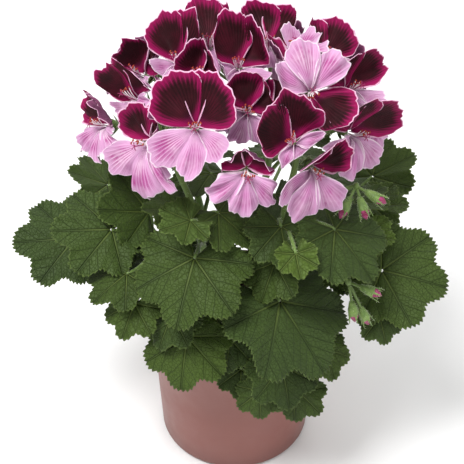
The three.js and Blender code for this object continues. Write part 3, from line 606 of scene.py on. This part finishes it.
def leaf(row, index):
    """A leaf as a fan from the petiole. At an angle a from the tip its margin lies at
    width (back + growth cos(a/2)^fullness) (1 - lobing notch^2) with small teeth added, and a
    point at share s of that reach stands width ((cup + wave) s^2 - pleat cos(360a/lobe) s) up,
    with a frill towards the margin."""
    _, place, heading, pitch, roll, width, cup = row
    tip, normal, across = blade_axes(heading, pitch, roll)
    draw = draws(index * 77 + 5)
    phase = 360 * next(draw)
    lobing = LOBE_DEPTH + LOBE_DEPTH_SPREAD * next(draw)
    teeth = 2 * round(width * TEETH_PER_LOBE / 2)
    columns = int(2 * LEAF_HALF_ANGLE / LOBE_SPACING) * teeth * 4
    angle = np.linspace(-LEAF_HALF_ANGLE, LEAF_HALF_ANGLE, columns + 1)
    around = np.radians(360 * angle / LOBE_SPACING)
    notch = 0.5 - 0.5 * np.cos(around)
    reach = width * (LEAF_BACK + LEAF_GROWTH * np.cos(np.radians(angle / 2)) ** LEAF_FULLNESS)
    reach = reach * (1 - lobing * notch**2)
    saw = np.abs((np.arange(columns + 1) / 2 + 1) % 2 - 1)
    tooth = (TOOTH_LENGTH[0] + TOOTH_LENGTH[1] * width) * (saw - 0.5)
    share = LEAF_SHARES[:, None]
    r = reach * share + tooth * np.clip((share - 0.94) / 0.06, 0, 1)
    wave = WAVE_HEIGHT * np.sin(np.radians(WAVES * angle + phase))
    height = (cup + wave) * share**2 - PLEAT_HEIGHT * np.cos(around) * share
    height = height + FRILL_HEIGHT * share**5 * np.sin(np.radians(FRILLS * angle + 2 * phase))
    a = np.radians(angle)
    grid = (
        np.array(place, float)
        + across * (r * np.sin(a))[..., None]
        + tip * (r * np.cos(a))[..., None]
        + normal * (width * height)[..., None]
    )
    from_vein = np.radians((angle + LOBE_SPACING / 2) % LOBE_SPACING - LOBE_SPACING / 2)
    margin = reach * (1 - share) + 0 * r
    spread = np.stack([r * np.cos(from_vein), np.abs(r * np.sin(from_vein)), margin], -1)
    age = 1.0 if width <= YOUNG_WIDTH and place[2] > YOUNG_HEIGHT else 0.35 * next(draw)
    return blade(grid, LEAF_THICKNESS, spread, [age, next(draw), width])


def stem_path(name):
    """A smooth curve (Catmull-Rom, as cubic pieces) from the soil to the stem's top."""
    foot, top = STEMS[name]
    foot, top = np.array(foot, float), np.array(top, float)
    knee = [*(foot + 0.2 * (top[:2] - foot)), 0.6 * SOIL_TOP + 0.4 * top[2]]
    knots = np.array([[*foot, SOIL_TOP - STEM_DEPTH], [*foot, SOIL_TOP + 3], knee, top])
    gap = np.linalg.norm(np.diff(knots, axis=0), axis=1) ** 0.5
    before = 2 * knots[0] - knots[1]
    after = 2 * knots[-1] - knots[-2]
    points = np.array([before, *knots, after])
    gap = np.array([gap[0], *gap, gap[-1]])
    pieces = []
    for i in range(len(knots) - 1):
        p0, p1, p2, p3 = points[i : i + 4]
        g0, g1, g2 = gap[i : i + 3]
        lean = ((p1 - p0) / g0 - (p2 - p0) / (g0 + g1) + (p2 - p1) / g1) * g1
        next_lean = ((p2 - p1) / g1 - (p3 - p1) / (g1 + g2) + (p3 - p2) / g2) * g1
        pieces.append(bezier([p1, p1 + lean / 3, p2 - next_lean / 3, p2], 25)[:-1])
    return np.array([*np.concatenate(pieces), knots[-1]])


def point_at(path, share):
    """The point at a share of a path's length."""
    length = np.concatenate([[0], np.cumsum(np.linalg.norm(np.diff(path, axis=0), axis=1))])
    return np.array([np.interp(share * length[-1], length, path[:, k]) for k in range(3)])


def petiole_path(path, top, row):
    """A Bezier curve from the stem up and out, then down the back of the blade to its foot."""
    _, place, heading, pitch, roll, _, _ = row
    foot = np.array(place, float)
    tip, normal, _ = blade_axes(heading, pitch, roll)
    height = np.clip(foot[2] - PETIOLE_RISE, LOWEST_PETIOLE, top[2] - STEM_R)
    start = point_at(path, (height - SOIL_TOP + STEM_DEPTH) / (top[2] - SOIL_TOP + STEM_DEPTH))
    length = np.linalg.norm(foot - start)
    bend = PETIOLE_BEND * length
    leave = start + unit((foot - start) * [1, 1, 0]) * bend + UP * bend
    sag = PETIOLE_SAG * length * np.cos(np.radians(pitch)) ** 2
    arrive = foot - tip * bend - normal * sag
    lowest = POT_HEIGHT + RIM_CLEARANCE
    leave[2], arrive[2] = max(leave[2], lowest), max(arrive[2], lowest)
    return bezier([start, leave, arrive, foot], 17)


def sepals(place, axis, reach, length, lean, tone):
    """Pointed sepals round an axis. Share u along a sepal lies at radius reach u^0.8 and at height
    -length (1 - u), and a sepal narrows to its tip as (1 - u)^0.7."""
    first, second = across_of(axis)
    u = np.linspace(0.04, 1, 9)[:, None]
    v = np.linspace(-1, 1, 7)[None, :]
    made = []
    for k in range(SEPALS):
        turn = 2 * np.pi * (k + 0.25) / SEPALS
        out = first * np.cos(turn) + second * np.sin(turn)
        side = np.cross(axis, out)
        width = SEPAL_HALF_WIDTH * np.sin(np.pi * (0.25 + 0.72 * u)) * (0.1 + 0.9 * (1 - u) ** 0.6)
        radius = reach * u**0.8 + SEPAL_CUP * v**2
        height = -length * (1 - u) + lean * u**2
        grid = (
            place
            + out * radius[..., None]
            + axis * (height + 0 * v)[..., None]
            + side * (width * v)[..., None]
        )
        made.append(blade(grid, SEPAL_THICKNESS, np.zeros(grid.shape), tone))
        made[-1]["quad_finish"][:] = 1
    return made


def hairs(bodies, count, draw):
    """Fine hairs on some bodies: three-sided needles that stand out of drawn points of their faces,
    along the face's normal plus a stray lean."""
    made = []
    for one in bodies:
        points = one["points"]
        quads = one["quads"]
        if not len(quads):
            continue
        pick = quads[draw.integers(0, len(quads), count)]
        corner = points[pick]
        mix = draw.dirichlet(np.ones(4), count)[..., None]
        root = (corner * mix).sum(1)
        normal = unit(np.cross(corner[:, 2] - corner[:, 0], corner[:, 3] - corner[:, 1]))
        lean = unit(normal + HAIR_STRAY * draw.normal(size=(count, 3)))
        length = HAIR_LENGTH * draw.uniform(0.6, 1.2, (count, 1))
        first = unit(np.cross(lean, draw.normal(size=(count, 3))))
        second = np.cross(lean, first)
        turn = np.arange(3) * 2 * np.pi / 3
        ring = first[:, None] * np.cos(turn)[:, None] + second[:, None] * np.sin(turn)[:, None]
        base = root[:, None] - lean[:, None] * 0.1 + ring * HAIR_R
        tip = root + lean * length
        points = np.concatenate([base, tip[:, None]], 1).reshape(-1, 3)
        at = np.arange(count)[:, None, None] * 4
        tris = (at + np.array([[0, 1, 3], [1, 2, 3], [2, 0, 3], [2, 1, 0]])).reshape(-1, 3)
        made.append(body(points, [], tris))
    return made


def stalks_of(name):
    """All that carries the leaves, blooms and buds of one stem, and the bodies that bear hairs."""
    path = stem_path(name)
    top = np.array(STEMS[name][1], float)
    old = np.clip((SOIL_TOP + CORKY_HEIGHT - path[:, 2]) / CORKY_HEIGHT, 0, 1)
    made = tube(path, STEM_R * (1 - STEM_TAPER * np.linspace(0, 1, len(path))), 12)
    made["tone"][:-2, 1] = np.repeat(old, 12)
    smooth, hairy = [made], [made]
    for row in LEAVES:
        if row[0] == name:
            route = petiole_path(path, top, row)
            petiole = tube(route, np.linspace(*PETIOLE_TAPER, len(route)) * PETIOLE_R, 7)
            smooth.append(petiole)
            hairy.append(petiole)
    if name in HEADS:
        hub = np.array(HEADS[name], float)
        start = point_at(path, 0.97)
        rise = 0.4 * np.linalg.norm(hub - start)
        peduncle = tube(bezier([start, start + UP * rise, hub - UP * rise, hub], 21), PEDUNCLE_R, 9)
        smooth += [peduncle, turned(HUB_PROFILE, hub, UP, 12)]
        hairy.append(peduncle)
        for (head, throat, *_), (face, _, _) in zip(BLOOMS, BLOOM_AXES):
            if head != name:
                continue
            seat = np.array(throat, float) - face * CALYX_GAP
            end = seat - face * 0.55 * CALYX_LENGTH
            half = 0.45 * np.linalg.norm(end - hub)
            outward = end - hub
            outward[2] = half / 2
            leave, arrive = hub + unit(outward) * half, end - face * half
            start = hub + (leave - hub) * 0.6 * HUB_R / half
            pedicel = tube(bezier([start, leave, arrive, end], 15), PEDICEL_R, 7)
            smooth += [pedicel, turned(CALYX_PROFILE, seat, face, 10)]
            green = sepals(seat, face, SEPAL_REACH, CALYX_LENGTH * 0.8, 0.4, 0)
            smooth += green
            hairy += [pedicel, *green]
    for owner, hub, tips in BUDS:
        if owner != name:
            continue
        hub = np.array(hub, float)
        start = point_at(path, 0.9)
        high = (start + hub) / 2 + UP * 10
        smooth.append(tube(bezier([start, high, hub], 17), BUD_STALK_R, 7))
        smooth.append(turned(BUD_HUB_PROFILE, hub, UP, 10))
        for tip in np.array(tips, float):
            axis = unit(tip - hub)
            stalk = tube(bezier([hub, (hub + tip) / 2, tip - axis * BUD_LENGTH * 0.75], 5), PEDICEL_R, 6)
            share = np.linspace(0, 1, 13)
            radius = BUD_R * np.sin(np.pi * share**1.15) ** 0.8
            profile = np.stack([radius, BUD_LENGTH * (share - 1)], 1)
            profile[[0, -1], 0] = 0
            bud = turned(profile, tip, axis, BUD_SIDES, flutes=BUD_FLUTES)
            bud["quad_finish"][:] = np.repeat([1, 2], [7 * BUD_SIDES, 3 * BUD_SIDES])
            bud["tri_finish"][:] = np.repeat([1, 2], BUD_SIDES)
            wrap = sepals(tip - axis * 2.5, axis, BUD_R * 1.3, BUD_LENGTH * 0.78, 1.5, 0)
            smooth += [stalk, bud, *wrap]
            hairy += [stalk, bud, *wrap]
    return smooth, hairy


# Blooms


def bloom_axes(row):
    """A bloom's face, and the directions up its upper petals and to their right, as it is faced."""
    heading, elevation, roll = row[2:5]
    face = direction(heading, elevation)
    up = unit(UP - face * face[2])
    right = np.cross(up, face)
    return face, turned_about(up, face, -roll), turned_about(right, face, -roll)


BLOOM_AXES = [bloom_axes(row) for row in BLOOMS]
CELL_CENTRES = [
    np.array(row[1], float) + axes[0] * CELL_CENTRE for row, axes in zip(BLOOMS, BLOOM_AXES)
]


def kept_in_cell(points, own):
    """Keeps the petals of one bloom on its own side of a sloping plane half way to each other bloom,
    so that crowded petals bend along each other. Beyond a soft start the depth past the plane
    shrinks as an exponential, and the petal rises along the plane instead."""
    for _ in range(3):
        for i, other in enumerate(CELL_CENTRES):
            if i == own:
                continue
            outward = unit(BLOOM_AXES[own][0] + BLOOM_AXES[i][0])
            slope = CELL_SLOPE * (BLOOMS[own][5] - BLOOMS[i][5])
            away = unit(unit(other - CELL_CENTRES[own]) - outward * slope)
            along = unit(outward - away * (outward @ away))
            depth = (points - (other + CELL_CENTRES[own]) / 2) @ away
            start = -CELL_GAP / 2 - CELL_SOFTNESS
            kept = -CELL_GAP / 2 - CELL_SOFTNESS * np.exp(np.minimum(0, start - depth) / CELL_SOFTNESS)
            push = np.where(depth > start, depth - kept, 0)[..., None]
            points = points + (along * CELL_RISE - away) * push
    return points


def petals(own, scale, middle, count, step, half, length, rise, flare, foot, forward):
    """The petals of one colour, each round and broad, over its neighbours' sides. A petal's columns
    run at angles centre + half sin t, and its margin lies at size (shoulder + (1 - shoulder) cos t).
    A point at distance r from the throat leans rise + (flare - rise) r / (2 length) degrees from
    the bloom's axis, with a slow ruffle, sides that roll back, and a frill towards the margin."""
    face, up, right = BLOOM_AXES[own]
    throat = np.array(BLOOMS[own][1], float)
    shared = draws(own * 31)
    phase = 360 * next(shared)
    opening = PETAL_OPENING * (2 * next(shared) - 1)
    draw = draws(own * 31 + count)
    lengths = [PETAL_SHORTEST + PETAL_LENGTH_SPREAD * next(draw) for _ in range(count)]
    share = PETAL_SHARES[:, None]
    turn = np.radians(np.linspace(-90, 90, PETAL_COLUMNS + 1))[None, :]
    across = np.sin(turn)
    made = []
    for n, size in enumerate(lengths):
        angle = step * (n - (count - 1) / 2) + half * across
        reach = length * scale * size * (PETAL_SHOULDER + (1 - PETAL_SHOULDER) * np.cos(turn))
        wobble = np.sin(np.radians(NIBBLES[0] * angle + phase))
        wobble = wobble + FINE_NIBBLE * np.sin(np.radians(NIBBLES[1] * angle + 3 * phase))
        r = share * reach * (1 + NIBBLE * share**4 * wobble)
        out = r / length
        ruffle = PETAL_RUFFLE * out**2 * np.sin(np.radians(PETAL_RUFFLES * (middle + angle) + phase))
        polar = np.radians(
            rise + (flare - rise + opening) * 0.5 * out + ruffle + PETAL_ROLL * across**2 * out
        )
        around = np.radians(middle + angle)
        outwards = up * np.cos(around)[..., None] + right * np.sin(around)[..., None]
        free = np.minimum(1, r / THROAT_DEPTH)[..., None]
        grid = throat + up * foot * (1 - free) + face * forward * free
        grid = grid + face * (r * np.cos(polar))[..., None] + outwards * (r * np.sin(polar))[..., None]
        rim = np.maximum(share, np.abs(across) ** 2) ** FRILL_ONSET * np.clip(share * 1.5, 0, 1)
        frill = np.sin(np.radians(FRILL_WAVES[0] * (middle + angle) + 5 * phase))
        finer = np.sin(np.radians(FRILL_WAVES[1] * (middle + angle) + 2 * phase))
        frill = frill + FINE_FRILL * finer
        layer = PETAL_STEP * (0.5 - (n % 2)) * (1 if count == 2 else -1)
        lift = FRILL * rim * (frill + 0.3) + layer * np.clip(3 * share, 0, 1)
        inward = face * np.sin(polar)[..., None] - outwards * np.cos(polar)[..., None]
        grid = grid + inward * lift[..., None]
        grid = grid + (kept_in_cell(grid, own) - grid) * free
        flat = np.stack([r * np.sin(np.radians(angle)), r * np.cos(np.radians(angle))], -1)
        outline = np.concatenate([flat[-1], flat[:, 0], flat[:, -1]])
        margin = np.linalg.norm(flat[:, :, None] - outline, axis=-1).min(-1)
        coords = np.stack([angle + 0 * r, out / scale, margin], -1)
        made.append(blade(grid, PETAL_THICKNESS, coords, [next(draw), next(draw), n]))
    return made


def stamens(own, draw):
    """Seven filaments that rise from the throat and bow up, each with an anther across its tip,
    and a style with five curled branches."""
    face, up, right = BLOOM_AXES[own]
    throat = np.array(BLOOMS[own][1], float)
    foot = throat + face * FILAMENT_FOOT
    low, middling, high = FILAMENT_FAN
    made = []
    for k in range(FILAMENTS):
        fan = (k - (FILAMENTS - 1) / 2) / FILAMENTS
        long = FILAMENT_LENGTH * draw.uniform(0.75, 1.05)
        start = foot + right * fan * low
        middle = throat + face * 0.65 * long - up * 1.2 + right * fan * middling
        end = throat + face * long + up * draw.uniform(1.5, 4.5) + right * fan * high
        made.append(tube(bezier([start, middle, end], 9), FILAMENT_R, 5))
        hang = unit(0.5 * face - up + right * draw.normal() * 0.5)
        share = np.linspace(0, 1, 6)
        profile = np.stack([ANTHER_R * np.sin(np.pi * share) ** 0.6, ANTHER_LENGTH * (share - 0.4)], 1)
        made.append(turned(profile, end, hang, 7, finish=1))
    tip = throat + face * FILAMENT_LENGTH * 1.05 + up * 0.5
    made.append(tube(bezier([foot, throat + face * 8 - up, tip], 8), STYLE_R, 5, finish=2))
    for k in range(STYLE_BRANCHES):
        turn = 2 * np.pi * k / STYLE_BRANCHES
        out = up * np.cos(turn) + right * np.sin(turn)
        curl = bezier([tip, tip + face * 1.6 + out * 0.8, tip + face * 1.2 + out * 2.6], 6)
        made.append(tube(curl, BRANCH_R, 4, finish=2))
    return made


# Pot and compost


def make_pot():
    """A turned shell: a closed profile carried round the axis. Notches lift the foot ring, and drain
    holes are cut through the floor."""
    slope = (POT_TOP_R - POT_BASE_R) / POT_HEIGHT
    rim_foot, floor = POT_HEIGHT - RIM_HEIGHT, FOOT_HEIGHT + POT_WALL

    def wall(z):
        """The outer wall's radius at a height."""
        return POT_BASE_R + slope * z

    ring = POT_BASE_R - HEEL_R - FOOT_WIDTH
    profile = np.array(
        [
            (2, 0),
            (CENTRE_PAD_R - 0.3, 0),
            (CENTRE_PAD_R, 0.2),
            (CENTRE_PAD_R + 0.9, FOOT_HEIGHT),
            (ring, FOOT_HEIGHT),
            (ring + 0.8, 0.3),
            (ring + 1, 0),
            (POT_BASE_R - HEEL_R, 0),
            (POT_BASE_R - HEEL_R * 0.6, 0.3),
            (POT_BASE_R - HEEL_R * 0.3, 0.9),
            (POT_BASE_R - HEEL_R * 0.1, 1.7),
            (wall(HEEL_R), HEEL_R),
            (wall(rim_foot / 2), rim_foot / 2),
            (wall(rim_foot) - 0.02, rim_foot - 0.6),
            (wall(rim_foot) + 0.4, rim_foot),
            (RIM_R - 0.9, rim_foot + 0.5),
            (RIM_R - 0.4, rim_foot + 1.2),
            (RIM_R - 0.1, POT_HEIGHT - 2.2),
            (RIM_R - 0.2, POT_HEIGHT - 0.9),
            (RIM_R - 0.8, POT_HEIGHT - 0.2),
            (RIM_R - 1.6, POT_HEIGHT),
            (POT_TOP_R, POT_HEIGHT),
            (POT_TOP_R - 0.6, POT_HEIGHT - 0.5),
            (wall(rim_foot) - POT_WALL, rim_foot - 1),
            (wall(rim_foot / 2) - POT_WALL, rim_foot / 2),
            (wall(floor) - POT_WALL - 2, floor + 1),
            (wall(floor) - POT_WALL - 5, floor),
            (2, floor),
        ]
    )
    turn = np.arange(POT_COLUMNS) * 2 * np.pi / POT_COLUMNS
    rings = np.zeros((len(profile), POT_COLUMNS, 3))
    rings[..., 0] = profile[:, 0, None] * np.cos(turn)
    rings[..., 1] = profile[:, 0, None] * np.sin(turn)
    rings[..., 2] = profile[:, 1, None]
    foot = (profile[:, 0] > ring) & (profile[:, 1] < FOOT_HEIGHT) & (profile[:, 0] <= POT_BASE_R)
    quarter = np.abs((turn * FOOT_NOTCHES / 2 / np.pi + 0.5) % 1 - 0.5) * 2 * np.pi / FOOT_NOTCHES
    notched = quarter * (POT_BASE_R - FOOT_WIDTH) < NOTCH_WIDTH / 2
    lifted = foot[:, None] & notched
    rings[..., 2] = np.where(lifted, np.maximum(rings[..., 2], FOOT_HEIGHT - 0.2), rings[..., 2])
    made = shell(rings, np.zeros(3), np.array([0, 0, floor]))
    pot = piece("pot_shell", [made], [POT], "pot", "pot")
    cutters = []
    for k in range(DRAIN_HOLES):
        place = direction(360 * (k + 0.5) / DRAIN_HOLES + 90, 0) * DRAIN_RING_R
        bar = [(0, -3), (DRAIN_R, -3), (DRAIN_R, 8), (0, 8)]
        cutters.append(turned(bar, place, UP, 24))
    cutter = piece("drain_cutter", cutters, [POT], "pot")
    cut = pot.modifiers.new("drain", "BOOLEAN")
    cut.object, cut.solver = cutter, "EXACT"
    bpy.context.view_layer.update()
    done = bpy.data.meshes.new_from_object(pot.evaluated_get(bpy.context.evaluated_depsgraph_get()))
    pot.modifiers.clear()
    pot.data = done
    bpy.data.objects.remove(cutter)
    pot.data.set_sharp_from_angle(angle=np.radians(40))


def crumbs(draw):
    """Crumbs of compost: squashed eight-sided lumps, scattered evenly over the soil's disc."""
    radius = SOIL_R * np.sqrt(draw.uniform(0.02, 0.97, CRUMBS))
    turn = draw.uniform(0, 2 * np.pi, CRUMBS)
    size = draw.uniform(*CRUMB_SIZES, CRUMBS)
    made = []
    for r, t, s in zip(radius, turn, size):
        place = np.array([r * np.cos(t), r * np.sin(t), SOIL_TOP + 0.6 + draw.uniform(-0.4, 0.8)])
        axis = unit(draw.normal(size=3))
        profile = np.array([(0, -0.7), (0.75, -0.3), (0.8, 0.3), (0, 0.7)]) * s * draw.uniform(0.8, 1.2)
        made.append(turned(profile, place, axis, 5))
    return made


make_pot()
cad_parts["soil"].data.materials.clear()
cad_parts["soil"].data.materials.append(COMPOST)
draw = np.random.default_rng(11)
piece("compost_crumbs", crumbs(draw), [COMPOST], "soil")
for name in STEMS:
    node = f"stem_{name}"
    blades = [leaf(row, i) for i, row in enumerate(LEAVES) if row[0] == name]
    piece(f"leaves_{name}", blades, [LEAF_UPPER, LEAF_UNDER], "leaf", node)
    stalks, hairy = stalks_of(name)
    piece(f"stalks_{name}", stalks, [STALK, SEPAL, BUD_TIP], "leaf", node)
    fuzz = []
    for one in hairy:
        size = np.ptp(one["points"], axis=0)
        fuzz += hairs([one], max(6, round(HAIRS_PER_MM * np.linalg.norm(size))), draw)
    piece(f"hairs_{name}", fuzz, [HAIR], "leaf", node)
for own, (*_, upper_scale, lower_scale) in enumerate(BLOOMS):
    wine, pink = petals(own, upper_scale, **UPPER_PETALS), petals(own, lower_scale, **LOWER_PETALS)
    node = f"bloom_{own + 1:02d}"
    piece(f"wine_petals_{own + 1:02d}", wine, [WINE_UPPER, WINE_UNDER], "wine_petal", f"{node}_upper")
    piece(f"pink_petals_{own + 1:02d}", pink, [PINK_UPPER, PINK_UNDER], "pink_petal", f"{node}_lower")
for name in HEADS:
    parts = [b for own, row in enumerate(BLOOMS) if row[0] == name for b in stamens(own, draw)]
    piece(f"stamens_{name}", parts, [FILAMENT, ANTHER, STYLE], "pink_petal")

# Studio: a pale floor, an even sky and three broad lamps


def studio():
    """The floor, the sky, the lamps and the camera."""
    mesh = bpy.data.meshes.new("studio_floor")
    side, low = FLOOR_HALF_WIDTH, FLOOR_LEVEL
    corners = [(-side, -side, low), (side, -side, low), (side, side, low), (-side, side, low)]
    mesh.from_pydata(corners, [], [(0, 1, 2, 3)])
    floor = bpy.data.objects.new("studio_floor", mesh)
    bpy.context.collection.objects.link(floor)
    _, shader, material = finish_of("white_paper_sweep", 0.9)
    shader.inputs["Base Color"].default_value = linear("#f6f6f6")
    mesh.materials.append(material)
    world = bpy.data.worlds.new("studio_sky")
    bpy.context.scene.world = world
    world.use_nodes = True
    sky = world.node_tree.nodes["Background"]
    sky.inputs["Color"].default_value = linear("#ffffff")
    sky.inputs["Strength"].default_value = SKY_STRENGTH
    for name, place, width, watts, target in LAMPS:
        light = bpy.data.lights.new(f"lamp_{name}", "AREA")
        light.energy, light.size = watts, width
        lamp = bpy.data.objects.new(f"lamp_{name}", light)
        bpy.context.collection.objects.link(lamp)
        lamp.location = place
        lamp.rotation_mode = "QUATERNION"
        away = np.array(place) - np.array(target)
        lamp.rotation_quaternion = Vector(away).to_track_quat("Z", "Y")
    lens = bpy.data.cameras.new("camera")
    lens.sensor_width = SENSOR_MM
    lens.lens = SENSOR_MM / 2 / np.tan(np.radians(FIELD_OF_VIEW / 2))
    camera = bpy.data.objects.new("camera", lens)
    bpy.context.collection.objects.link(camera)
    camera.location = CAMERA_PLACE
    camera.rotation_euler = (np.radians(CAMERA_TILT), 0, 0)
    bpy.context.scene.camera = camera
    bpy.context.scene.view_settings.view_transform = "Standard"


studio()
